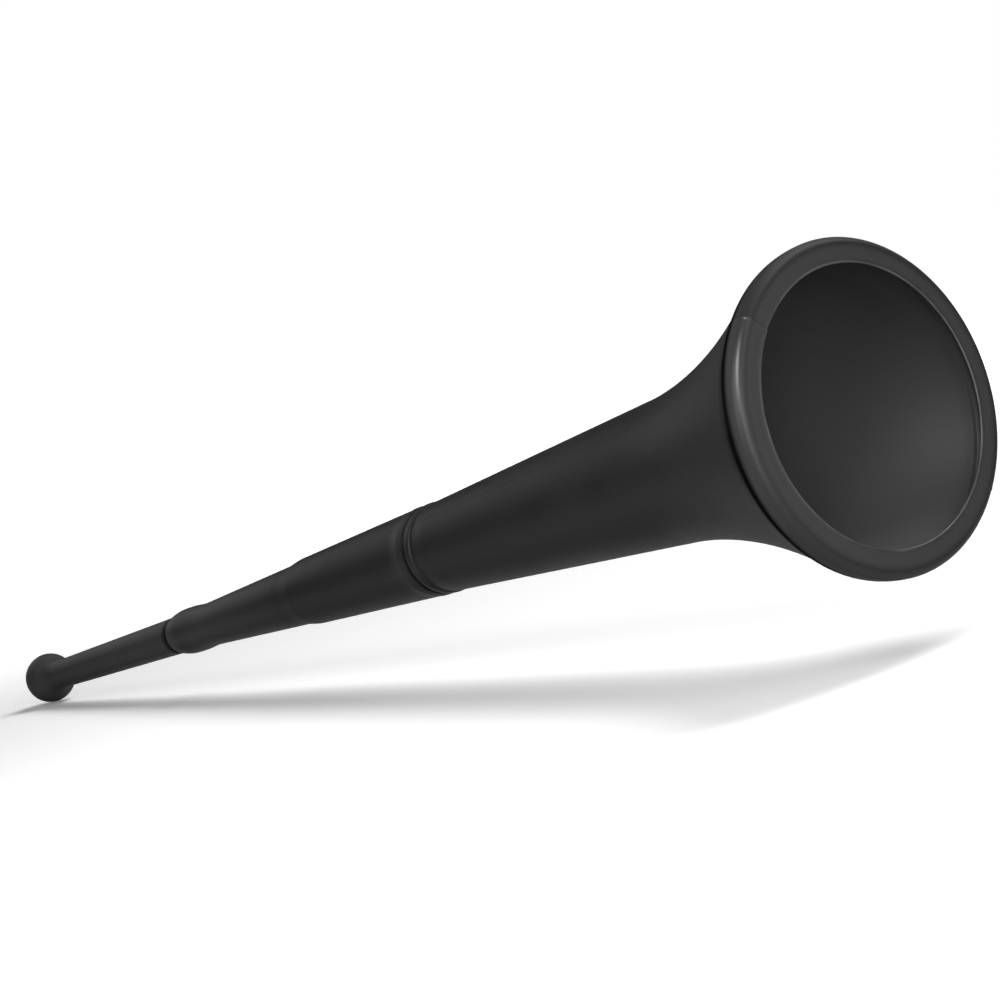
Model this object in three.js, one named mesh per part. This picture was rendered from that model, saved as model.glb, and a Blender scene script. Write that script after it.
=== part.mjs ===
// A plug-together stadium horn in three moulded lengths: bell tube, middle tube and mouth tube.
// Millimetres. The axis of the horn is X, with the bell at +X, and Z is up.
// The origin is on the axis, halfway along the assembled horn.
// Every outline is a list of [setback, radius], the setback being counted back from the lip of the bell.

import * as THREE from 'three';

// The assembled horn
const overallLength = 654;
const upperJointSetback = 256;
const upperJointRadius = 18.2;
const lowerJointSetback = 488;
const lowerJointRadius = 9;
const plugClearance = 0.3;

// Bell tube: wall, cone and flare
const bellWall = 1.5;
const coneEndRadius = 26.5;
const flareLength = 88;
const flarePower = 1.81;

// Bell tube: rolled rim with a flat lip, open behind the lip
const rimRadius = 56.4;
const rimDepth = 10.4;
const rimOverhang = 2.9;
const rimBackStep = 0.5;
const rimGrooveWidth = 1.2;
const rimGrooveDepth = 0.5;
const lipWidth = 9.6;
const lipCorner = 3.4;
const lipCutBevel = 1;

// Bell tube: bead and groove round its narrow end
const bellBeadLength = 4.6;
const bellBeadHeight = 0.55;
const bellGrooveLength = 2.6;
const bellGrooveDepth = 0.3;

// Middle tube: two tapers with a soft shoulder between them
const middleWall = 1.3;
const shoulderWideRadius = 15.1;
const shoulderNarrowRadius = 13.5;
const shoulderSetback = 364;
const shoulderLength = 17;

// Middle tube: raised ring and spigot at the wide end
const ringGap = 1.1;
const ringLength = 5.4;
const ringEndRadius = 18.6;
const ringRise = 0.45;
const ringHeight = 0.35;
const middleSpigotLength = 32;
const spigotDraft = 0.35;

// Middle tube: barrel-shaped collar round the socket at the narrow end
const barrelLength = 33;
const barrelCrownLength = 4.6;
const barrelBevelLength = 13;
const barrelHeight = 1.65;
const socketEdgeWall = 0.65;
const socketRelief = 0.3;
const socketRunout = 1.1;

// Mouth tube
const mouthWall = 1.2;
const mouthNarrowRadius = 7.45;
const mouthSpigotLength = 28;
const mouthNeckLength = 2.4;
const mouthNeckDepth = 0.65;
const mouthEdgeLength = 1.6;
const mouthEdgeDrop = 0.3;
const neckFillet = 16;

// Ball mouthpiece and its cup
const cupMouthRadius = 6.6;
const cupRimRadius = 1.5;
const cupDepth = 11;
const ballOverhang = 4.9;
const throatRadius = 3.6;
const throatLength = 5;

// How finely the curves are cut into facets
const bellFacets = 72;
const middleFacets = 48;
const mouthFacets = 40;
const flareSteps = 10;
const ballSteps = 8;
const neckSteps = 5;
const arcSteps = 4;

// Part of a tube's wall that the chamfer on its spigot takes
const chamferShare = 0.55;

// One black plastic throughout; the thin mouth tube looks a shade lighter
const blackPlastic = { color: 0x26272a, roughness: 0.48, metalness: 0 };
const palePlastic = { color: 0x2b2c2f, roughness: 0.52, metalness: 0 };

// Radii and places that two tubes share
const upperSocketRadius = upperJointRadius - bellWall;
const upperSpigotRadius = upperSocketRadius - plugClearance;
const lowerSpigotRadius = lowerJointRadius - mouthNeckDepth;
const lowerSocketRadius = lowerSpigotRadius + plugClearance;

// Places of a stretch cut into even steps, each turned into a point by its share of the way
function stretch(steps, pointAt) {
  return Array.from({ length: steps + 1 }, (_, step) => pointAt(step / steps));
}

// A straight stretch of wall that swells by a height times the shape at each share of its length
function swelling(start, end, height, shape) {
  return stretch(arcSteps, (share) => [
    THREE.MathUtils.lerp(start[0], end[0], share),
    THREE.MathUtils.lerp(start[1], end[1], share) + height * shape(share),
  ]);
}

// Shape of a half-round bead
function halfRound(share) {
  return Math.sqrt(1 - (2 * share - 1) ** 2);
}

// Shape of a soft hollow that leaves the wall smoothly
function softHollow(share) {
  return -Math.sin(Math.PI * share);
}

// An S from one place to the other
function easing(start, end) {
  return stretch(arcSteps, (share) => [
    THREE.MathUtils.lerp(start[0], end[0], share),
    THREE.MathUtils.lerp(start[1], end[1], THREE.MathUtils.smoothstep(share, 0, 1)),
  ]);
}

// A stretch that leaves level and falls away faster and faster
function turningDown(start, end) {
  return stretch(arcSteps, (share) => [
    THREE.MathUtils.lerp(start[0], end[0], share),
    THREE.MathUtils.lerp(start[1], end[1], share ** 2),
  ]);
}

// An arc of an ellipse in degrees: 0 points to the mouthpiece, 90 away from the axis
function arc(centre, length, height, fromDegrees, toDegrees, steps = arcSteps) {
  return stretch(steps, (share) => {
    const angle = THREE.MathUtils.degToRad(THREE.MathUtils.lerp(fromDegrees, toDegrees, share));
    return [centre[0] + length * Math.cos(angle), centre[1] + height * Math.sin(angle)];
  });
}

// The inner face of a wall whose outer face is drawn towards the bell
function innerFace(outerFace, wall) {
  return outerFace.map((point, index) => {
    const before = outerFace[Math.max(index - 1, 0)];
    const after = outerFace[Math.min(index + 1, outerFace.length - 1)];
    const along = new THREE.Vector2(before[0] - after[0], after[1] - before[1]).normalize();
    return [point[0] - wall * along.y, point[1] - wall * along.x];
  });
}

// The plug end of a tube, from its tip to its root
function spigot(tip, root, radius, wall) {
  const chamfer = wall * chamferShare;
  return [
    [tip, radius - spigotDraft - chamfer],
    [tip + chamfer, radius - spigotDraft],
    [root, radius],
  ];
}

// Turns an outline round the axis of the horn into a solid; it runs to the bell outside and back inside
function turned(name, outline, facets, finish) {
  const lipX = overallLength / 2;
  const profile = outline.map(([setback, radius]) => new THREE.Vector2(radius, lipX - setback));
  profile.push(profile[0].clone());
  const geometry = new THREE.LatheGeometry(profile, facets);
  geometry.rotateZ(-Math.PI / 2);
  const tube = new THREE.Mesh(geometry, new THREE.MeshStandardMaterial(finish));
  tube.name = name;
  return tube;
}

function bellTube() {
  const flareEnd = rimDepth + rimGrooveWidth;
  const flareStart = flareEnd + flareLength;
  const flareEndRadius = rimRadius - rimOverhang;
  const coneSlope = (coneEndRadius - upperJointRadius) / (upperJointSetback - flareStart);
  const coneRadius = (setback) => upperJointRadius + coneSlope * (upperJointSetback - setback);
  const flareRise = flareEndRadius - coneRadius(flareEnd);

  const beadEnd = upperJointSetback - bellBeadLength;
  const grooveEnd = beadEnd - bellGrooveLength;
  const bead = swelling(
    [upperJointSetback, upperJointRadius],
    [beadEnd, coneRadius(beadEnd)],
    bellBeadHeight,
    halfRound,
  );
  const groove = swelling(
    [beadEnd, coneRadius(beadEnd)],
    [grooveEnd, coneRadius(grooveEnd)],
    bellGrooveDepth,
    softHollow,
  );
  const flare = stretch(flareSteps, (share) => {
    const setback = THREE.MathUtils.lerp(flareStart, flareEnd, share);
    return [setback, coneRadius(setback) + flareRise * share ** flarePower];
  });
  const rimGroove = [rimDepth + rimGrooveWidth / 2, flareEndRadius - rimGrooveDepth];
  const rimBackRadius = flareEndRadius + rimBackStep;
  const rimSide = arc([lipCorner, rimBackRadius], rimDepth - lipCorner, rimRadius - rimBackRadius, 0, 90);
  const lipFront = arc([lipCorner, rimRadius - lipCorner], lipCorner, lipCorner, 90, 180);
  const lipCut = [0, rimRadius - lipWidth];

  const rolledRim = [...rimSide, ...lipFront.slice(1), lipCut];
  const hollow = innerFace([...flare, ...rolledRim], bellWall);
  hollow.pop();
  hollow.push([bellWall, lipCut[1] + lipCutBevel]);
  return turned(
    'bell_tube',
    [
      ...bead,
      ...groove.slice(1),
      ...flare,
      rimGroove,
      ...rolledRim,
      ...hollow.reverse(),
      [upperJointSetback, upperSocketRadius],
    ],
    bellFacets,
    blackPlastic,
  );
}

function middleTube() {
  const spigotTip = upperJointSetback - middleSpigotLength;
  const ringStart = upperJointSetback + ringGap;
  const ringEnd = ringStart + ringLength;
  const shoulderStart = shoulderSetback - shoulderLength / 2;
  const shoulderEnd = shoulderSetback + shoulderLength / 2;
  const barrelStart = lowerJointSetback - barrelLength;
  const bevelStart = lowerJointSetback - barrelBevelLength;
  const crownStart = bevelStart - barrelCrownLength;
  const socketEnd = lowerJointSetback - mouthSpigotLength - socketRunout;
  const barrelStartRadius = lowerSocketRadius + socketRelief + middleWall;
  const barrelEdgeRadius = lowerSocketRadius + socketEdgeWall;
  const barrelRadius = barrelEdgeRadius + barrelHeight;

  const plug = spigot(spigotTip, ringStart, upperSpigotRadius, middleWall);
  const ring = swelling(
    [ringStart, ringEndRadius - ringRise],
    [ringEnd, ringEndRadius],
    ringHeight,
    halfRound,
  );
  const shoulder = easing([shoulderStart, shoulderWideRadius], [shoulderEnd, shoulderNarrowRadius]);
  const barrel = easing([barrelStart, barrelStartRadius], [crownStart, barrelRadius]);
  const bevel = turningDown([bevelStart, barrelRadius], [lowerJointSetback, barrelEdgeRadius]);
  const outside = [...plug, ...ring, ...shoulder, ...barrel, ...bevel];
  const inside = [
    [lowerJointSetback, lowerSocketRadius],
    [socketEnd, lowerSocketRadius],
    [barrelStart, barrelStartRadius - middleWall],
    [shoulderEnd, shoulderNarrowRadius - middleWall],
    [shoulderStart, shoulderWideRadius - middleWall],
    [ringEnd, ringEndRadius - middleWall],
    [ringStart, upperSpigotRadius - middleWall],
    [spigotTip, upperSpigotRadius - spigotDraft - middleWall],
  ];
  return turned('middle_tube', [...outside, ...inside].reverse(), middleFacets, blackPlastic);
}

function mouthTube() {
  const spigotTip = lowerJointSetback - mouthSpigotLength;
  const neckEnd = lowerJointSetback + mouthNeckLength;
  const edgeEnd = neckEnd + mouthEdgeLength;

  const cupRimCentre = [overallLength - cupRimRadius, cupMouthRadius + cupRimRadius];
  const ballRadius = cupRimCentre[1] + ballOverhang;
  const rimReach = ballRadius - cupRimRadius;
  const rimAngle = Math.asin(cupRimCentre[1] / rimReach);
  const ballSetback = cupRimCentre[0] - rimReach * Math.cos(rimAngle);
  const filletReach = ballRadius + neckFillet;
  const filletAngle = Math.asin((mouthNarrowRadius + neckFillet) / filletReach);
  const filletSetback = ballSetback - filletReach * Math.cos(filletAngle);
  const rimDegrees = THREE.MathUtils.radToDeg(rimAngle);
  const filletDegrees = THREE.MathUtils.radToDeg(filletAngle);

  const plug = spigot(spigotTip, neckEnd, lowerSpigotRadius, mouthWall);
  const fillet = arc(
    [filletSetback, mouthNarrowRadius + neckFillet],
    neckFillet,
    neckFillet,
    270,
    360 - filletDegrees,
    neckSteps,
  );
  const ball = arc([ballSetback, 0], ballRadius, ballRadius, 180 - filletDegrees, rimDegrees, ballSteps);
  const cupRim = arc(cupRimCentre, cupRimRadius, cupRimRadius, rimDegrees, -90);
  const cupBottom = cupRimCentre[0] - cupDepth;
  const cup = arc([cupRimCentre[0], throatRadius], -cupDepth, cupMouthRadius - throatRadius, 90, 0);
  const outside = [
    ...plug,
    [neckEnd, lowerJointRadius - mouthEdgeDrop],
    [edgeEnd, lowerJointRadius],
    ...fillet,
    ...ball.slice(1),
    ...cupRim.slice(1),
  ];
  const inside = [
    ...cup.slice(1),
    [cupBottom - throatLength, throatRadius],
    [filletSetback, mouthNarrowRadius - mouthWall],
    [edgeEnd, lowerJointRadius - mouthWall],
    [neckEnd, lowerSpigotRadius - mouthWall],
    [spigotTip, lowerSpigotRadius - spigotDraft - mouthWall],
  ];
  return turned('mouth_tube', [...outside, ...inside].reverse(), mouthFacets, palePlastic);
}

const horn = new THREE.Group();
horn.name = 'horn';
horn.add(bellTube(), middleTube(), mouthTube());

export default horn;
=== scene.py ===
import math
import bpy
from mathutils import Matrix, Vector


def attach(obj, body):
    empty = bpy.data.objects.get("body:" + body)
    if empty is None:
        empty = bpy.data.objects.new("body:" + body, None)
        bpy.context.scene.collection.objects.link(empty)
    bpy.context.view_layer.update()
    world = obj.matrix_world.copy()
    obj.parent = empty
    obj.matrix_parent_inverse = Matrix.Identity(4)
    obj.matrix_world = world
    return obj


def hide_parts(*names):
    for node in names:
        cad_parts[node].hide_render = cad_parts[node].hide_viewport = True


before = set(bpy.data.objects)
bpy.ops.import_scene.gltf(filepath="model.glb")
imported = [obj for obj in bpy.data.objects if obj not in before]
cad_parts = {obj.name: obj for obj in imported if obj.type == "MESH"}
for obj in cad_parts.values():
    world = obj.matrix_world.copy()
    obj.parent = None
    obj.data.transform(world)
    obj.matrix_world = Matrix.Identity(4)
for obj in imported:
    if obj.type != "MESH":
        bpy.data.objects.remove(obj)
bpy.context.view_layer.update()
mm = 0.001

# The assembled horn, in mm; setbacks are counted back from the lip of the bell
horn = {
    "length": 654,
    "upperJoint": 256,
    "upperRadius": 18.2,
    "lowerJoint": 488,
    "lowerRadius": 9,
    "seamTurn": 136.8,       # degrees round the axis where the mould halves meet
}
lipX = horn["length"] / 2    # the origin is at half the length, on the axis

# The two push-fits, in mm
joints = {
    "clearance": 0.3,
    "upperSpigot": 32,
    "lowerSpigot": 28,
    "lowerStep": 0.65,       # how much slimmer the mouth tube's spigot is than the tube
    "draft": 0.35,
    "chamferShare": 0.55,    # of the wall
    "cleanEnd": 0.4,         # the spigot is clean up to here, counted from the joint
    "darkFrom": 0.2,         # and dirty from here on
    "steps": 6,
}


# Outlines

def mix(start, end, share):
    return start + (end - start) * share


# Points spaced evenly along a stretch, each worked out from its share of the way
def stretch(steps, pointAt):
    return [pointAt(step / steps) for step in range(steps + 1)]


def straight(start, end, steps=1):
    return stretch(steps, lambda t: (mix(start[0], end[0], t), mix(start[1], end[1], t)))


# A straight stretch with a bead or a hollow of the given shape on it
def swelling(start, end, height, shape, steps):
    def pointAt(t):
        return (mix(start[0], end[0], t), mix(start[1], end[1], t) + height * shape(t))
    return stretch(steps, pointAt)


# The shape of a bead, and of a hollow, at a share of the way over it
def halfRound(t):
    return math.sqrt(max(0.0, 1 - (2 * t - 1) ** 2))


def softHollow(t):
    return -math.sin(math.pi * t)


# Leaves level and arrives level
def easing(start, end, steps):
    return stretch(steps, lambda t: (mix(start[0], end[0], t), mix(start[1], end[1], t * t * (3 - 2 * t))))


# Leaves level and falls away faster and faster
def turningDown(start, end, steps):
    return stretch(steps, lambda t: (mix(start[0], end[0], t), mix(start[1], end[1], t * t)))


def arc(centre, length, height, fromDegrees, toDegrees, steps):
    def pointAt(t):
        angle = math.radians(mix(fromDegrees, toDegrees, t))
        return (centre[0] + length * math.cos(angle), centre[1] + height * math.sin(angle))
    return stretch(steps, pointAt)


# The inner face of a wall whose outer face is drawn towards the bell
def innerFace(outer, wall):
    inner = []
    for i, (setback, radius) in enumerate(outer):
        before, after = outer[max(i - 1, 0)], outer[min(i + 1, len(outer) - 1)]
        along = Vector((before[0] - after[0], after[1] - before[1])).normalized()
        inner.append((setback - wall * along.y, radius - wall * along.x))
    return inner


# A spigot's outer face, from its chamfered tip to its root at the joint
def spigot(tip, radius, wall, joint):
    chamfer = wall * joints["chamferShare"]
    edge = (tip + chamfer, radius - joints["draft"])
    root = (joint - joints["cleanEnd"], radius)
    return [(tip, radius - joints["draft"] - chamfer)] + straight(edge, root, joints["steps"])


# How near a value is to a middle, from 1 there down to 0 far away
def nearness(value, middle, reach):
    return math.exp(-((value - middle) / reach) ** 2)


# What each point of an outline can carry a share of
tags = ("seam", "wear", "bore", "polish", "grime", "handled", "cut")


# Gives each point its shares; a share is a number or a function of the point
def tagged(points, **shares):
    return [
        (*point, {tag: share(point) if callable(share) else share for tag, share in shares.items()})
        for point in points
    ]


corners = {
    "crisp": 24,        # degrees of turn from which a corner is rounded
    "steps": 3,
    "doubled": 0.01,    # mm: closer points count as one
    "edgeShare": 0.4,   # the most that a corner takes of the edges beside it
    "wear": 0.45,
}


# Drops doubled points and rounds every crisp corner, the outer ones with some wear
def softened(outline, corner):
    clean = []
    for point in outline:
        if not clean or math.dist(point[:2], clean[-1][:2]) > corners["doubled"]:
            clean.append(point)
    if math.dist(clean[0][:2], clean[-1][:2]) < corners["doubled"]:
        clean.pop()
    made = []
    for i, (setback, radius, shares) in enumerate(clean):
        last, following = clean[i - 1], clean[(i + 1) % len(clean)]
        here = Vector((-setback, radius))
        arriving = here - Vector((-last[0], last[1]))
        leaving = Vector((-following[0], following[1])) - here
        turn = arriving.angle(leaving)
        if math.degrees(turn) < corners["crisp"]:
            made.append((setback, radius, shares))
            continue
        room = min(arriving.length, leaving.length) * corners["edgeShare"]
        taken = min(corner * math.tan(turn / 2), room)
        start, end = here - arriving.normalized() * taken, here + leaving.normalized() * taken
        outward = arriving.x * leaving.y - arriving.y * leaving.x < 0
        if outward and not shares.get("bore"):
            shares = dict(shares, wear=corners["wear"])
        for step in range(corners["steps"] + 1):
            t = step / corners["steps"]
            place = start * (1 - t) ** 2 + here * (2 * t * (1 - t)) + end * t ** 2
            made.append((-place.x, place.y, shares))
    return made


# Node trees

# Puts nodes into a tree; an input is given a plain value or another node's socket
class NodeBench:
    def __init__(self, tree):
        self.nodes, self.links = tree.nodes, tree.links
        self.nodes.clear()

    def put(self, kind, inputs=(), **settings):
        node = self.nodes.new(kind)
        for key, value in settings.items():
            setattr(node, key, value)
        for key, value in dict(inputs).items():
            self.give(node.inputs[key], value)
        return node

    def give(self, socket, value):
        if isinstance(value, bpy.types.NodeSocket):
            self.links.new(value, socket)
        else:
            socket.default_value = value

    def calc(self, operation, *values):
        return self.put("ShaderNodeMath", enumerate(values), operation=operation).outputs[0]

    def ramp(self, value, low, high, fromLow=0.0, fromHigh=1.0):
        return self.put("ShaderNodeMapRange", {
            "Value": value, "From Min": fromLow, "From Max": fromHigh, "To Min": low, "To Max": high,
        }).outputs[0]


# One geometry tree turns every outline into a tube
def turnedTubeTree():
    tree = bpy.data.node_groups.new("turnedTube", "GeometryNodeTree")
    face = tree.interface
    face.new_socket("Geometry", in_out="OUTPUT", socket_type="NodeSocketGeometry")
    face.new_socket("Geometry", in_out="INPUT", socket_type="NodeSocketGeometry")
    ids = {}
    for name, kind in (
        ("Turns", "Int"), ("Seam Turn", "Float"), ("Seam Focus", "Float"), ("Seam Height", "Float"),
        ("Seam Width", "Float"), ("Kink Depth", "Float"), ("Kink Length", "Float"), ("Unevenness", "Float"),
        ("Uneven Scale", "Float"), ("Uneven Along", "Float"), ("Seed", "Float"), ("Polish Turn", "Float"),
        ("Upper Painted Light Cut", "Float"), ("Weld", "Float"), ("Finish", "Material"),
    ):
        ids[name] = face.new_socket(name, in_out="INPUT", socket_type="NodeSocket" + kind).identifier
    bench = NodeBench(tree)
    put, calc = bench.put, bench.calc
    given = put("NodeGroupInput").outputs

    def times(first, second):
        return calc("MULTIPLY", first, second)

    # A bell curve: 1 at nought and soon nothing on either side
    def hump(value):
        return calc("EXPONENT", times(times(value, value), -1))

    # A grid with the outline along one side and the turns along the other
    pointCount = put("GeometryNodeAttributeDomainSize", {"Geometry": given["Geometry"]}, component="MESH")
    pointCount = pointCount.outputs["Point Count"]
    columns = calc("ADD", pointCount, 1)
    rows = calc("ADD", given["Turns"], 1)
    grid = put("GeometryNodeMeshGrid", {"Vertices X": rows, "Vertices Y": columns}).outputs["Mesh"]
    index = put("GeometryNodeInputIndex").outputs[0]
    turnStep = calc("FLOOR", calc("DIVIDE", calc("ADD", index, 0.5), columns))
    outlineStep = calc("MODULO", calc("SUBTRACT", index, times(turnStep, columns)), pointCount)

    def sampled(field, kind):
        return put("GeometryNodeSampleIndex", {
            "Geometry": given["Geometry"], "Value": field, "Index": outlineStep,
        }, data_type=kind, domain="POINT").outputs["Value"]

    def stored(name, kind="FLOAT"):
        field = put("GeometryNodeInputNamedAttribute", {"Name": name}, data_type=kind)
        return sampled(field.outputs["Attribute"], kind)

    position = put("GeometryNodeInputPosition").outputs[0]
    place = put("ShaderNodeSeparateXYZ", {"Vector": sampled(position, "FLOAT_VECTOR")}).outputs
    outward = put("ShaderNodeSeparateXYZ", {"Vector": stored("outward", "FLOAT_VECTOR")}).outputs
    share = {tag: stored(tag) for tag in tags}

    # The angle round the axis: the steps are closest at the two parting lines
    evenTurn = times(calc("DIVIDE", turnStep, given["Turns"]), math.tau)
    drawnIn = times(times(given["Seam Focus"], 0.5), calc("SINE", times(evenTurn, 2)))
    fromSeam = calc("SUBTRACT", evenTurn, drawnIn)
    angle = calc("ADD", fromSeam, given["Seam Turn"])
    cosine, sine = calc("COSINE", angle), calc("SINE", angle)

    # A fine raised line where the mould halves meet
    sideways = times(place["Y"], calc("SINE", fromSeam))
    flash = times(hump(calc("DIVIDE", sideways, given["Seam Width"])), share["seam"])

    # The wall is a little uneven: it sinks in soft waves and never rises
    where = put("ShaderNodeCombineXYZ", {
        "X": times(place["X"], given["Uneven Along"]),
        "Y": times(place["Y"], cosine),
        "Z": times(place["Y"], sine),
    }).outputs[0]
    waves = put("ShaderNodeTexNoise", {
        "Vector": where, "W": given["Seed"], "Scale": given["Uneven Scale"], "Detail": 1.0,
    }, noise_dimensions="4D").outputs[0]
    sunk = times(times(calc("SUBTRACT", waves, 1.0), given["Unevenness"]), share["seam"])
    lift = calc("ADD", times(flash, given["Seam Height"]), sunk)

    # The knife that cut the bell open left a small kink beside the parting line
    kinkReach = calc("DIVIDE", calc("ABSOLUTE", sideways), given["Kink Length"])
    oneSide = calc("GREATER_THAN", times(sideways, -1), 0)
    front = calc("GREATER_THAN", calc("COSINE", fromSeam), 0)
    kink = times(times(calc("EXPONENT", times(kinkReach, -1)), times(oneSide, front)), share["cut"])
    radius = calc("ADD", place["Y"], times(kink, given["Kink Depth"]))

    radius = calc("ADD", radius, times(outward["Y"], lift))
    turned = put("ShaderNodeCombineXYZ", {
        "X": calc("ADD", place["X"], times(outward["X"], lift)),
        "Y": times(radius, cosine),
        "Z": times(radius, sine),
    }).outputs[0]
    shape = put("GeometryNodeSetPosition", {"Geometry": grid, "Position": turned}).outputs[0]

    # The upper mould half of a rim is duller and gets less painted light; the lower one shines from the
    # parting line on
    upper = calc("LESS_THAN", calc("SINE", fromSeam), 0)
    shine = times(share["polish"], hump(calc("DIVIDE", fromSeam, given["Polish Turn"])))
    paintedLightShare = calc("SUBTRACT", 1, times(upper, given["Upper Painted Light Cut"]))
    finish = {
        "wear": share["wear"], "bore": share["bore"], "grime": share["grime"],
        "polish": times(shine, calc("SUBTRACT", 1, upper)),
        "handled": times(share["handled"], paintedLightShare),
        "upperHalf": times(upper, share["polish"]),
    }
    for name, value in finish.items():
        shape = put("GeometryNodeStoreNamedAttribute", {"Geometry": shape, "Name": name, "Value": value},
                    data_type="FLOAT", domain="POINT").outputs[0]
    shape = put("GeometryNodeMergeByDistance", {"Geometry": shape, "Distance": given["Weld"]}).outputs[0]
    shape = put("GeometryNodeRealizeInstances", {"Geometry": shape}).outputs[0]
    shape = put("GeometryNodeSetMaterial", {"Geometry": shape, "Material": given["Finish"]}).outputs[0]
    put("NodeGroupOutput", {"Geometry": shape})
    return tree, ids


tubeTree, tubeInputs = turnedTubeTree()

# For all tubes; a piece's own values replace these
turning = {
    "weld": 0.004,         # mm
    "unevenAlong": 0.25,   # the waves in the wall are drawn out along the tube
    "sharpTurn": 40,       # degrees from which an edge is shaded sharp
    "kinkDepth": 0.0, "kinkLength": 1.0, "polishTurn": 90, "upperPaintedLightCut": 0.0,
}


def turnedTube(name, outline, piece, finish):
    values = dict(turning, **piece)
    count = len(outline)
    flat = [Vector((lipX - setback, radius, 0)) * mm for setback, radius, _ in outline]
    drawing = bpy.data.meshes.new(name + "Outline")
    drawing.from_pydata(flat, [(i, (i + 1) % count) for i in range(count)], [])
    outwards = []
    for i in range(count):
        along = (flat[(i + 1) % count] - flat[i - 1]).normalized()
        outwards += [-along.y, along.x, 0]
    drawing.attributes.new("outward", "FLOAT_VECTOR", "POINT").data.foreach_set("vector", outwards)
    for tag in tags:
        shares = [point[2].get(tag, 0.0) for point in outline]
        drawing.attributes.new(tag, "FLOAT", "POINT").data.foreach_set("value", shares)

    raw = bpy.data.objects.new(name + "Outline", drawing)
    bpy.context.scene.collection.objects.link(raw)
    modifier = raw.modifiers.new("turned", "NODES")
    modifier.node_group = tubeTree
    for key, value in (
        ("Turns", values["turns"]),
        ("Seam Turn", math.radians(horn["seamTurn"])),
        ("Seam Focus", values["seamFocus"]),
        ("Seam Height", values["seamHeight"] * mm),
        ("Seam Width", values["seamWidth"] * mm),
        ("Kink Depth", values["kinkDepth"] * mm),
        ("Kink Length", values["kinkLength"] * mm),
        ("Unevenness", values["unevenness"] * mm),
        ("Uneven Scale", values["unevenScale"]),
        ("Uneven Along", values["unevenAlong"]),
        ("Seed", values["seed"]),
        ("Polish Turn", math.radians(values["polishTurn"])),
        ("Upper Painted Light Cut", values["upperPaintedLightCut"]),
        ("Weld", values["weld"] * mm),
        ("Finish", finish),
    ):
        modifier[tubeInputs[key]] = value
    bpy.context.view_layer.update()
    made = bpy.data.meshes.new_from_object(raw.evaluated_get(bpy.context.evaluated_depsgraph_get()))
    bpy.data.objects.remove(raw)
    made.name = name
    made.shade_smooth()
    made.set_sharp_from_angle(angle=math.radians(values["sharpTurn"]))
    tube = bpy.data.objects.new(name, made)
    bpy.context.scene.collection.objects.link(tube)
    print(name, len(made.vertices), "points", len(made.polygons), "faces")
    return tube


# Finishes

def newMaterial(name):
    material = bpy.data.materials.new(name)
    material.use_nodes = True
    return material, NodeBench(material.node_tree)


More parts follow.
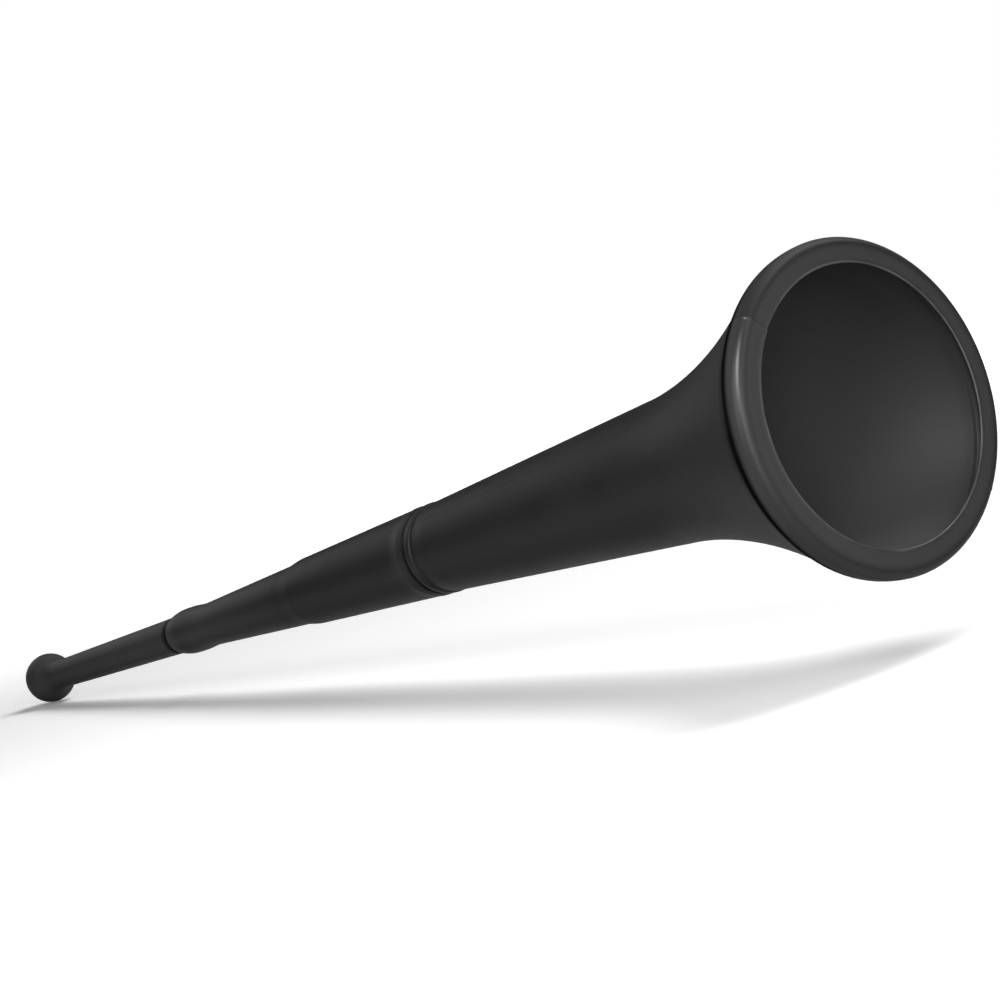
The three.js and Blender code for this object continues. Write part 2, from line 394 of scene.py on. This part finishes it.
# Satin moulded plastic; its patterns follow Object coordinates and the shares on the mesh
def mouldedPlastic(name, look):
    material, bench = newMaterial(name)
    put, calc, ramp = bench.put, bench.calc, bench.ramp
    place = put("ShaderNodeTexCoord").outputs["Object"]

    def noise(key, detail, stretchX=1.0, rough=0.5):
        spaced = put("ShaderNodeMapping", {"Vector": place, "Scale": (stretchX, 1, 1)}).outputs[0]
        return put("ShaderNodeTexNoise", {
            "Vector": spaced, "Scale": look[key], "Detail": detail, "Roughness": rough,
        }).outputs[0]

    def attribute(key):
        return put("ShaderNodeAttribute", attribute_name=key).outputs["Fac"]

    def blend(share, first, second):
        node = put("ShaderNodeMix", {"Factor": share}, data_type="RGBA")
        colours = [socket for socket in node.inputs if socket.type == "RGBA"]
        bench.give(colours[0], first)
        bench.give(colours[1], second)
        return next(socket for socket in node.outputs if socket.type == "RGBA")

    def times(first, second):
        return calc("MULTIPLY", first, second)

    # Moves a value by an amount wherever the share is
    def moved(value, share, amount):
        return calc("ADD", value, times(share, amount))

    # A pattern moved down by half, so that it swings about nought
    def swinging(pattern):
        return calc("SUBTRACT", pattern, 0.5)

    grain = noise("grainScale", detail=3.0)
    peel = noise("peelScale", detail=1.0)
    flow = noise("flowScale", detail=2.0, stretchX=look["flowAlong"])
    cloud = noise("cloudScale", detail=4.0)
    scuffs = noise("scuffScale", detail=1.0, stretchX=look["scuffAlong"], rough=look["scuffRough"])
    scuffs = ramp(scuffs, 0, 1, look["scuffFrom"], look["scuffTo"])
    wear, bore, polish = attribute("wear"), attribute("bore"), attribute("polish")
    grime, upperHalf, paintedLightShare = attribute("grime"), attribute("upperHalf"), attribute("handled")
    rubbed = times(wear, ramp(cloud, look["rubLeast"], 1.0, look["rubFrom"], look["rubTo"]))

    # Colour: even black with pale clouds; painted light makes it paler towards the mouth end and on the
    # bell rim's side and corner;
    # paler where edges are rubbed and, as a painted highlight, along the cut edge; in the bore, painted
    # light makes it paler, most on one side
    shade = blend(ramp(cloud, 0, 1, look["cloudFrom"], look["cloudTo"]), look["dark"], look["pale"])
    along = put("ShaderNodeSeparateXYZ", {"Vector": place}).outputs["X"]
    paintedLightShare = calc("MAXIMUM", paintedLightShare, ramp(along, 0, 1, look["handledFrom"], look["handledTo"]))
    # painted light is held back where the painted shade is
    handled = blend(times(paintedLightShare, ramp(grime, 1, 0)), shade, look["handled"])
    # rubbed edges and the cut edge's painted highlight both take the worn colour
    marks = calc("MAXIMUM", times(rubbed, look["wearShow"]), times(scuffs, look["scuffShow"]))
    wornAndGlint = blend(marks, handled, look["wornAndGlint"])
    boreLightShare = put("ShaderNodeVectorMath", {0: place, 1: look["boreLightSide"]}, operation="DOT_PRODUCT")
    boreLightShare = ramp(boreLightShare.outputs["Value"], 0, 1, look["boreLightFrom"], look["boreLightTo"])
    colour = blend(bore, wornAndGlint, blend(boreLightShare, look["inside"], look["boreLight"]))

    # Roughness: drier in the bore and on the rim's upper mould half, smoother where rubbed or polished
    roughness = moved(look["roughness"], swinging(cloud), look["roughVary"])
    roughness = moved(roughness, bore, look["boreDry"])
    roughness = moved(roughness, upperHalf, look["upperDry"])
    roughness = moved(roughness, rubbed, -look["wearSmooth"])
    roughness = moved(roughness, polish, -look["polishSmooth"])

    # Shine: none in the painted shade, more on the polish, less on the rim's upper mould half
    gloss = moved(ramp(grime, look["specular"], look["grimeSpecular"]), polish, look["polishGloss"])
    gloss = moved(gloss, upperHalf, -look["upperDull"])

    # Relief: skin grain, soft waviness and the long flow marks of a blown tube
    height = times(swinging(grain), look["grainDepth"])
    height = moved(height, swinging(peel), look["peelDepth"])
    height = moved(height, swinging(flow), look["flowDepth"])
    height = moved(height, scuffs, -look["scuffDepth"])
    bump = put("ShaderNodeBump", {"Height": height, "Distance": mm, "Strength": 1.0}).outputs[0]

    surface = put("ShaderNodeBsdfPrincipled", {
        "Base Color": colour, "Roughness": roughness, "Normal": bump,
        "IOR": look["ior"], "Specular IOR Level": gloss,
    })
    put("ShaderNodeOutputMaterial", {"Surface": surface.outputs[0]})
    return material


blackLook = {
    "dark": (0.0042, 0.0042, 0.0044, 1), "pale": (0.0062, 0.0062, 0.0065, 1),
    "cloudScale": 45, "cloudFrom": 0.35, "cloudTo": 0.65,
    # Painted light: a paler colour towards the mouth end and on the bell rim's side and corner
    "handled": (0.038, 0.038, 0.039, 1),
    "handledFrom": -0.02, "handledTo": -0.17,                            # metres along the horn
    "wornAndGlint": (0.070, 0.070, 0.072, 1), "wearShow": 0.5,
    "rubLeast": 0.2, "rubFrom": 0.4, "rubTo": 0.6,
    # Painted light in the bore: the inside is paler than the outside, and paler still on one side
    "inside": (0.019, 0.019, 0.0194, 1), "boreLight": (0.108, 0.108, 0.110, 1),
    "boreLightSide": (-1.3, -0.18, -0.5), "boreLightFrom": -0.425, "boreLightTo": -0.325,   # the side that gets the painted light
    "roughness": 0.50, "roughVary": 0.14, "boreDry": 0.03, "upperDry": 0.15,
    "wearSmooth": 0.10, "polishSmooth": 0.18,
    "ior": 1.5, "specular": 0.5, "grimeSpecular": 0.0, "polishGloss": 0.5, "upperDull": 0.3,
    "grainScale": 1500, "grainDepth": 0.012, "peelScale": 210, "peelDepth": 0.03,     # depths are mm
    "flowScale": 90, "flowAlong": 0.06, "flowDepth": 0.03,
    "scuffScale": 420, "scuffAlong": 0.02, "scuffRough": 0.6, "scuffFrom": 0.70, "scuffTo": 0.76,
    "scuffShow": 0.08, "scuffDepth": 0.004,
}
mouthLook = dict(blackLook, roughness=0.54, cloudScale=70, flowScale=150, peelScale=320)
blackPlastic = mouldedPlastic("blackPlastic", blackLook)
mouthPlastic = mouldedPlastic("mouthPlastic", mouthLook)
print("finishes made")


# Bell tube

bell = {
    "wall": 1.5, "coneEndRadius": 26.5, "flareLength": 88, "flarePower": 1.81,
    "rimRadius": 56.4, "rimDepth": 10.4, "rimOverhang": 2.9, "rimBackStep": 0.5,
    "skin": 0.1,                                     # kept free under the CAD rim for the parting line
    "grooveWidth": 1.2, "grooveDepth": 0.5, "grooveEdgeShares": (0.62, 0.7), "grooveFloorShare": 0.4,
    "lipWidth": 9.6, "lipCorner": 3.4, "lipSink": 0.12, "lipBackWidth": 1,
    "cutRound": 0.45, "cutFrom": 190,                # degrees at which the cut edge starts to round over
    "faceEndShare": 2, "burrFootShare": 1.3, "burrTopShare": 0.95,      # of the rounding
    "beadLength": 4.6, "beadHeight": 0.55, "hollowLength": 2.6, "hollowDepth": 0.3,
    "corner": 0.35,
    "beadSteps": 14, "hollowSteps": 8, "coneSteps": 18, "flareSteps": 40,
    "rimSteps": 18, "lipSteps": 16, "faceSteps": 5, "boreSteps": 10,
    "turns": 360, "seamFocus": 0.72, "seamHeight": 0.09, "seamWidth": 0.28,
    "kinkDepth": 0.5, "kinkLength": 3.0,
    "unevenness": 0.12, "unevenScale": 22, "seed": 3.0,
    "polishTurn": 32, "polishAt": 40, "polishSpread": 26,     # degrees round the axis, then over the corner
    "cornerDull": 0.35, "dullAt": 80, "dullSpread": 16,
    # painted shade in and beside the groove behind the rim, and on the bead at the joint
    "grimeFrom": 7.4, "grimeFront": 2.2, "grimeBack": 5.0, "jointShade": 1.3,    # mm
    # painted light on the rim's side and corner, and how much less of it the upper mould half gets
    "rimPaintedLight": 0.65, "upperPaintedLightCut": 0.4,
}


def bellOutline(b):
    flareEnd = b["rimDepth"] + b["grooveWidth"]
    flareStart = flareEnd + b["flareLength"]
    flareEndRadius = b["rimRadius"] - b["rimOverhang"]
    slope = (b["coneEndRadius"] - horn["upperRadius"]) / (horn["upperJoint"] - flareStart)

    def coneAt(setback):
        return (setback, horn["upperRadius"] + slope * (horn["upperJoint"] - setback))

    def flareAt(t):
        setback, radius = coneAt(mix(flareStart, flareEnd, t))
        return (setback, radius + (flareEndRadius - coneAt(flareEnd)[1]) * t ** b["flarePower"])

    # From the joint to the flare
    coneEnd = coneAt(horn["upperJoint"])
    beadEnd = coneAt(horn["upperJoint"] - b["beadLength"])
    hollowEnd = coneAt(beadEnd[0] - b["hollowLength"])
    bead = swelling(coneEnd, beadEnd, b["beadHeight"], halfRound, b["beadSteps"])
    hollow = swelling(beadEnd, hollowEnd, b["hollowDepth"], softHollow, b["hollowSteps"])
    cone = straight(hollowEnd, coneAt(flareStart), b["coneSteps"])
    flare = stretch(b["flareSteps"], flareAt)

    # The groove, and the rolled rim with its flat lip
    outerRadius = b["rimRadius"] - b["skin"]
    rimBackRadius = flareEndRadius + b["rimBackStep"]
    cornerRadius = outerRadius - b["lipCorner"]
    edgeAlong, edgeDown = b["grooveEdgeShares"]
    groove = [
        (b["rimDepth"] + b["grooveWidth"] * edgeAlong, flareEndRadius - b["grooveDepth"] * edgeDown),
        (b["rimDepth"] + b["grooveWidth"] * b["grooveFloorShare"], flareEndRadius - b["grooveDepth"]),
    ]
    rimSide = arc((b["lipCorner"], rimBackRadius), b["rimDepth"] - b["lipCorner"],
                  outerRadius - rimBackRadius, 0, 90, b["rimSteps"])
    lipFront = arc((b["lipCorner"], cornerRadius), b["lipCorner"] - b["lipSink"], b["lipCorner"],
                   90, 180, b["lipSteps"])
    cut = b["rimRadius"] - b["lipWidth"]
    faceEnd = (b["lipSink"], cut + b["faceEndShare"] * b["cutRound"])
    lipFace = straight(lipFront[-1], faceEnd, b["faceSteps"])

    # The cut edge: a fine burr standing on the lip, rounded over into the bell
    burr = [(b["lipSink"] / 2, cut + b["burrFootShare"] * b["cutRound"]),
            (0.0, cut + b["burrTopShare"] * b["cutRound"])]
    over = arc((b["cutRound"], cut + b["cutRound"]), b["cutRound"], b["cutRound"],
               b["cutFrom"], 270, b["faceSteps"])
    lipBack = [(b["wall"], cut + b["lipBackWidth"])]

    inner = innerFace(flare + rimSide + lipFront[1:], b["wall"])
    bore = straight(inner[0], (horn["upperJoint"], horn["upperRadius"] - b["wall"]), b["boreSteps"])

    # Painted shade in the groove and on the rim and flare beside it
    def grooveShade(point):
        before = (b["grimeFrom"] - point[0]) / b["grimeFront"]
        behind = (point[0] - flareEnd) / b["grimeBack"]
        return max(0.0, 1 - max(before, behind, 0))

    def jointShade(point):
        return max(0.0, 1 - (horn["upperJoint"] - point[0]) / b["jointShade"])

    # Degrees over the lip's corner, from 90 at the rim's side down to 0 at the lip's face
    def cornerTurn(point):
        return math.degrees(math.atan2(b["lipCorner"] - point[0], point[1] - cornerRadius))

    def shine(point):
        return nearness(cornerTurn(point), b["polishAt"], b["polishSpread"])

    # Painted shade: the ring of the corner next to the lip face loses its shine
    def dull(point):
        return b["cornerDull"] * nearness(cornerTurn(point), b["dullAt"], b["dullSpread"])

    # Painted light over the lip's corner, fading from the rim's side to the lip's face
    def paintedLightShare(point):
        return b["rimPaintedLight"] * max(0.0, min(1.0, 1 - cornerTurn(point) / 90))

    return softened(
        tagged(bead, seam=0.6, wear=0.35, grime=jointShade)
        + tagged(hollow[1:], seam=0.6)
        + tagged(cone[1:], seam=1)
        + tagged(flare[1:], seam=1, grime=grooveShade)
        + tagged(groove, seam=0.3, grime=1)
        + tagged(rimSide, seam=1.6, grime=grooveShade, handled=b["rimPaintedLight"])
        + tagged(lipFront[1:], seam=1.6, polish=shine, grime=dull, handled=paintedLightShare)
        + tagged(lipFace[1:-1], seam=0.45)
        + tagged(lipFace[-1:], seam=0.45, cut=1)
        # The cut edge takes more than full wear so that it turns pale: partly real wear, partly a painted
        # highlight
        + tagged(burr, wear=1.6, cut=1)
        + tagged(over, wear=2.0, cut=1)
        + tagged(lipBack, bore=1, cut=1)
        + tagged(inner[::-1] + bore[1:], bore=1),
        b["corner"],
    )


bellTube = turnedTube("bellTube", bellOutline(bell), bell, blackPlastic)
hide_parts("bell_tube")
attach(bellTube, "bell")


# Middle tube

middle = {
    "wall": 1.3,
    "ringGap": 1.1, "ringLength": 5.4, "ringEndRadius": 18.6, "ringRise": 0.45, "ringHeight": 0.35,
    "shoulderWide": 15.1, "shoulderNarrow": 13.5, "shoulderSetback": 364, "shoulderLength": 17,
    "barrelLength": 33, "bevelLength": 13, "crownLength": 4.6, "barrelHeight": 1.65,
    "edgeWall": 0.65, "socketRelief": 0.3, "socketRunout": 1.1,
    "corner": 0.3, "steps": 14, "bevelSteps": 16,
    "turns": 240, "seamFocus": 0.6, "seamHeight": 0.06, "seamWidth": 0.25,
    "unevenness": 0.08, "unevenScale": 30, "seed": 5.0,
    # painted shade beside the ring at the upper joint, on the barrel near the lower joint and on the
    # shoulder
    "ringShade": 1.2, "gripShade": 0.3, "gripSetback": 474, "gripReach": 6, "shoulderShade": 0.15,
}


def middleOutline(m):
    socketRadius = horn["lowerRadius"] - joints["lowerStep"] + joints["clearance"]
    plugRadius = horn["upperRadius"] - bell["wall"] - joints["clearance"]
    tip = horn["upperJoint"] - joints["upperSpigot"]
    ringStart = horn["upperJoint"] + m["ringGap"]
    ringEnd = (ringStart + m["ringLength"], m["ringEndRadius"])
    shoulderStart = (m["shoulderSetback"] - m["shoulderLength"] / 2, m["shoulderWide"])
    shoulderEnd = (m["shoulderSetback"] + m["shoulderLength"] / 2, m["shoulderNarrow"])
    barrelStart = (horn["lowerJoint"] - m["barrelLength"], socketRadius + m["socketRelief"] + m["wall"])
    edgeRadius = socketRadius + m["edgeWall"]
    bevelStart = horn["lowerJoint"] - m["bevelLength"]
    crown = edgeRadius + m["barrelHeight"]
    socketEnd = horn["lowerJoint"] - joints["lowerSpigot"] - m["socketRunout"]

    plug = spigot(tip, plugRadius, m["wall"], horn["upperJoint"])
    neck = straight((horn["upperJoint"] - joints["darkFrom"], plugRadius), (ringStart, plugRadius))
    ring = swelling((ringStart, m["ringEndRadius"] - m["ringRise"]), ringEnd,
                    m["ringHeight"], halfRound, m["steps"])
    taper = straight(ring[-1], shoulderStart, m["steps"])
    shoulder = easing(shoulderStart, shoulderEnd, m["steps"])
    lower = straight(shoulder[-1], barrelStart, m["steps"])
    barrel = easing(barrelStart, (bevelStart - m["crownLength"], crown), m["steps"])
    bevel = turningDown((bevelStart, crown), (horn["lowerJoint"], edgeRadius), m["bevelSteps"])
    socket = [(horn["lowerJoint"], socketRadius), (socketEnd, socketRadius)]
    bore = [(setback, radius - m["wall"]) for setback, radius in (
        barrelStart, shoulderEnd, shoulderStart, ringEnd, (ringStart, plugRadius),
        (tip, plugRadius - joints["draft"]),
    )]

    def ringShade(point):
        return max(0.0, 1 - (point[0] - ringStart) / m["ringShade"])

    def gripShade(point):
        return m["gripShade"] * nearness(point[0], m["gripSetback"], m["gripReach"])

    outline = (
        tagged(plug, seam=0.25)
        # the neck shows in the joint's gap and carries painted shade
        + tagged(neck, seam=0.25, grime=1)
        + tagged(ring, seam=0.6, wear=0.35, grime=ringShade)
        + tagged(taper[1:], seam=1)
        + tagged(shoulder[1:], seam=1, grime=m["shoulderShade"])
        + tagged(lower[1:], seam=1)
        + tagged(barrel[1:], seam=0.8, wear=0.2, grime=gripShade)
        + tagged(bevel, seam=0.6, wear=0.3, grime=gripShade)
        + tagged(socket + bore, bore=1)
    )
    return softened(outline[::-1], m["corner"])


middleTube = turnedTube("middleTube", middleOutline(middle), middle, blackPlastic)
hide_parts("middle_tube")
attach(middleTube, "middle")


# Mouth tube and its ball mouthpiece

mouth = {
    "wall": 1.2, "narrowRadius": 7.45,
    "neckLength": 2.4, "edgeLength": 1.6, "edgeDrop": 0.3, "neckFillet": 16,
    "cupMouthRadius": 6.6, "cupRimRadius": 1.5, "cupDepth": 11, "ballOverhang": 4.9,
    "throatRadius": 3.6, "throatLength": 5,
    "rimSkin": 0.1,                                  # kept free under the CAD cup rim
    "corner": 0.25, "steps": 16, "edgeSteps": 5, "ballSteps": 36, "cupRimSteps": 12, "cupSteps": 14,
    "turns": 200, "seamFocus": 0.6, "seamHeight": 0.06, "seamWidth": 0.22,
    "unevenness": 0.05, "unevenScale": 45, "seed": 7.0,
    # painted shade on the edge at the lower joint
    "edgeShade": 0.6, "cupBore": 0.25,
}


# The ball runs smoothly into the rounded rim of the cup
def ballMouthpiece(m):
    rimCentre = (horn["length"] - m["cupRimRadius"], m["cupMouthRadius"] + m["cupRimRadius"])
    radius = rimCentre[1] + m["ballOverhang"]
    rimAngle = math.asin(rimCentre[1] / (radius - m["cupRimRadius"]))
    setback = rimCentre[0] - (radius - m["cupRimRadius"]) * math.cos(rimAngle)
    return rimCentre, rimAngle, setback, radius


def mouthOutline(m):
    plugRadius = horn["lowerRadius"] - joints["lowerStep"]
    tip = horn["lowerJoint"] - joints["lowerSpigot"]
    neckEnd = horn["lowerJoint"] + m["neckLength"]
    edgeEnd = neckEnd + m["edgeLength"]
    rimCentre, rimAngle, ballSetback, ballRadius = ballMouthpiece(m)
    filletReach = ballRadius + m["neckFillet"]
    filletAngle = math.asin((m["narrowRadius"] + m["neckFillet"]) / filletReach)
    filletSetback = ballSetback - filletReach * math.cos(filletAngle)
    rimDegrees, filletDegrees = math.degrees(rimAngle), math.degrees(filletAngle)
    rimRound = m["cupRimRadius"] - m["rimSkin"]

    plug = spigot(tip, plugRadius, m["wall"], horn["lowerJoint"])
    neck = straight((horn["lowerJoint"] - joints["darkFrom"], plugRadius), (neckEnd, plugRadius))
    tube = straight((edgeEnd, horn["lowerRadius"]), (filletSetback, m["narrowRadius"]), m["steps"])
    edge = straight(tube[0], tube[1], m["edgeSteps"])[:2]
    fillet = arc((filletSetback, m["narrowRadius"] + m["neckFillet"]), m["neckFillet"], m["neckFillet"],
                 270, 360 - filletDegrees, m["steps"])
    ball = arc((ballSetback, 0), ballRadius, ballRadius, 180 - filletDegrees, rimDegrees, m["ballSteps"])
    cupRim = arc(rimCentre, rimRound, rimRound, rimDegrees, -90, m["cupRimSteps"])
    cup = arc((rimCentre[0], m["throatRadius"]), -m["cupDepth"], m["cupMouthRadius"] - m["throatRadius"],
              90, 0, m["cupSteps"])
    throatEnd = (rimCentre[0] - m["cupDepth"] - m["throatLength"], m["throatRadius"])
    bore = [(setback, radius - m["wall"]) for setback, radius in (
        (filletSetback, m["narrowRadius"]), (edgeEnd, horn["lowerRadius"]), (neckEnd, plugRadius),
        (tip, plugRadius - joints["draft"]),
    )]
    outline = (
        tagged(plug, seam=0.25)
        # the neck and the edge at the lower joint carry painted shade
        + tagged(neck, seam=0.25, grime=1)
        + tagged([(neckEnd, horn["lowerRadius"] - m["edgeDrop"])], seam=0.3, grime=1)
        + tagged(edge[:1], seam=1, grime=m["edgeShade"])
        + tagged(edge[1:] + tube[1:], seam=1)
        + tagged(fillet[1:], seam=0.8)
        + tagged(ball[1:], seam=0.7)
        + tagged(cupRim[1:], seam=0.2, wear=0.6)
        + tagged(cup[1:], bore=m["cupBore"])
        + tagged([throatEnd] + bore, bore=1)
    )
    return softened(outline[::-1], m["corner"])


mouthTube = turnedTube("mouthTube", mouthOutline(mouth), mouth, mouthPlastic)
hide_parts("mouth_tube")
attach(mouthTube, "mouth")
print("tubes made")


# Camera

# Where the lip is in the photograph and which way the bell points there;
# camera coordinates run right, down and forward from the lens
shot = {
    "focalPixels": 2400,
    "pictureWidth": 1000,
    "lipPixel": (874.85, 404.18),
    "lipDepth": 0.7632,      # metres in front of the lens
    "bellTurn": 34.68,       # degrees that the bell points to the right of the lens
    "bellRise": 11.21,       # degrees that it points upwards in the picture
    "overFloor": 4.0,        # degrees that the camera looks down on the floor
    "roll": -14.5,           # degrees that the floor leans in the picture
    "sensor": 36,            # mm
    "clip": (0.02, 60),      # metres
}
bellTurn, bellRise = math.radians(shot["bellTurn"]), math.radians(shot["bellRise"])
bellWay = Vector((math.sin(bellTurn) * math.cos(bellRise), -math.sin(bellRise),
                  -math.cos(bellTurn) * math.cos(bellRise)))
tip, lean = math.radians(shot["overFloor"]), math.radians(shot["roll"])
floorUp = Vector((math.sin(lean) * math.cos(tip), -math.cos(lean) * math.cos(tip), -math.sin(tip)))
rise = math.asin(floorUp.dot(bellWay))            # how far the horn points up from the floor
upWay = (floorUp - bellWay * math.sin(rise)).normalized()
toHorn = Matrix((bellWay, upWay.cross(bellWay), upWay))     # turns a camera direction into a horn direction
halfPicture = (shot["pictureWidth"] - 1) / 2      # the middle, in pixel centres
lipSeen = [(pixel - halfPicture) / shot["focalPixels"] for pixel in shot["lipPixel"]]
lipPlace = Vector((lipX * mm, 0, 0))
lensPlace = lipPlace - toHorn @ (Vector((*lipSeen, 1)) * shot["lipDepth"])


def fromLens(right, down, forward):
    return lensPlace + toHorn @ Vector((right, down, forward))


cameraData = bpy.data.cameras.new("camera")
cameraData.sensor_fit = "HORIZONTAL"
cameraData.sensor_width = shot["sensor"]
cameraData.lens = shot["sensor"] * shot["focalPixels"] / shot["pictureWidth"]
cameraData.clip_start, cameraData.clip_end = shot["clip"]
camera = bpy.data.objects.new("camera", cameraData)
axes = Matrix([toHorn @ Vector(axis) for axis in ((1, 0, 0), (0, -1, 0), (0, 0, -1))]).transposed()
camera.matrix_world = Matrix.Translation(lensPlace) @ axes.to_4x4()
bpy.context.scene.collection.objects.link(camera)
bpy.context.scene.camera = camera


# Floor

floorLook = {
    "size": 9.0, "ballGap": 1.0,          # metres, and mm between the floor and the ball
    "white": 1.0, "dim": 0.40,            # how pale it is to the camera, and to the horn
    "glow": 0.10, "farGlow": 1.0,         # for the camera alone, by the horn and far away
    "fadeFrom": 0.38, "fadeTo": 1.05,     # metres
}
_, _, ballSetback, ballRadius = ballMouthpiece(mouth)
floorNormal = Vector((math.sin(rise), 0, math.cos(rise)))
floorAlong = Vector((math.cos(rise), 0, -math.sin(rise)))
floorSide = Vector((0, 1, 0))
ballCentre = Vector((lipX - ballSetback, 0, 0)) * mm
underBall = ballCentre - floorNormal * (ballRadius + floorLook["ballGap"]) * mm
floorMiddle = underBall + floorAlong * lipX * mm
reach = floorLook["size"] / 2
floorMesh = bpy.data.meshes.new("floor")
floorMesh.from_pydata([floorMiddle + floorAlong * along * reach + floorSide * aside * reach
                       for along, aside in ((-1, -1), (1, -1), (1, 1), (-1, 1))], [], [(0, 1, 2, 3)])
floor = bpy.data.objects.new("floor", floorMesh)
bpy.context.scene.collection.objects.link(floor)

paleFloor, bench = newMaterial("paleFloor")
seen = bench.put("ShaderNodeLightPath").outputs["Is Camera Ray"]
floorPoint = bench.put("ShaderNodeTexCoord").outputs["Object"]
away = bench.put("ShaderNodeVectorMath", {0: floorPoint, 1: floorMiddle}, operation="DISTANCE")
glow = bench.ramp(away.outputs["Value"], floorLook["glow"], floorLook["farGlow"],
                  floorLook["fadeFrom"], floorLook["fadeTo"])
shining = bench.put("ShaderNodeEmission", {"Strength": bench.calc("MULTIPLY", seen, glow)})
matt = bench.put("ShaderNodeBsdfDiffuse", {"Color": bench.ramp(seen, floorLook["dim"], floorLook["white"])})
both = bench.put("ShaderNodeAddShader", {0: matt.outputs[0], 1: shining.outputs[0]})
bench.put("ShaderNodeOutputMaterial", {"Surface": both.outputs[0]})
floorMesh.materials.append(paleFloor)


# Light

# Square soft boxes, placed in camera coordinates in metres and aimed at the body or at the bell's lip
lamps = {
    "overhead": {"at": (0.46, -1.53, 0.98), "aim": "body", "size": 0.9, "power": 22.5},
    "rightBox": {"at": (1.31, -0.16, 0.08), "aim": "body", "size": 0.9, "power": 11.2},
    "frontBox": {"at": (0.16, 0.0, -0.61), "aim": "body", "size": 0.9, "power": 12.0},
    "edgeBox": {"at": (-1.13, -0.41, 2.03), "aim": "body", "size": 0.9, "power": 1.4},
    "bellTop": {"at": (0.40, -0.34, 0.40), "aim": "lip", "size": 0.35, "power": 0.45},
    "bellSide": {"at": (-0.40, -0.09, 0.59), "aim": "lip", "size": 0.35, "power": 0.9},
    "rimLight": {"at": (-0.16, -0.29, 0.36), "aim": "lip", "size": 0.22, "power": 1.35},
}
studio = {"bodyDepth": 0.98, "roomLight": 0.06}      # metres in front of the lens, and the world's strength
aims = {"body": fromLens(0, 0, studio["bodyDepth"]), "lip": lipPlace}
for name, lamp in lamps.items():
    data = bpy.data.lights.new(name, "AREA")
    data.size = lamp["size"]
    data.energy = lamp["power"]
    box = bpy.data.objects.new(name, data)
    box.location = fromLens(*lamp["at"])
    box.rotation_mode = "QUATERNION"
    box.rotation_quaternion = (aims[lamp["aim"]] - box.location).to_track_quat("-Z", "Y")
    box.visible_camera = False
    bpy.context.scene.collection.objects.link(box)

world = bpy.data.worlds.new("studio")
bpy.context.scene.world = world
world.use_nodes = True
bench = NodeBench(world.node_tree)
seen = bench.put("ShaderNodeLightPath").outputs["Is Camera Ray"]
room = bench.put("ShaderNodeBackground", {
    "Color": (1, 1, 1, 1), "Strength": bench.ramp(seen, studio["roomLight"], 1.0),
})
bench.put("ShaderNodeOutputWorld", {"Surface": room.outputs[0]})
bpy.context.scene.view_settings.view_transform = "Standard"
print("stage, camera and light made")
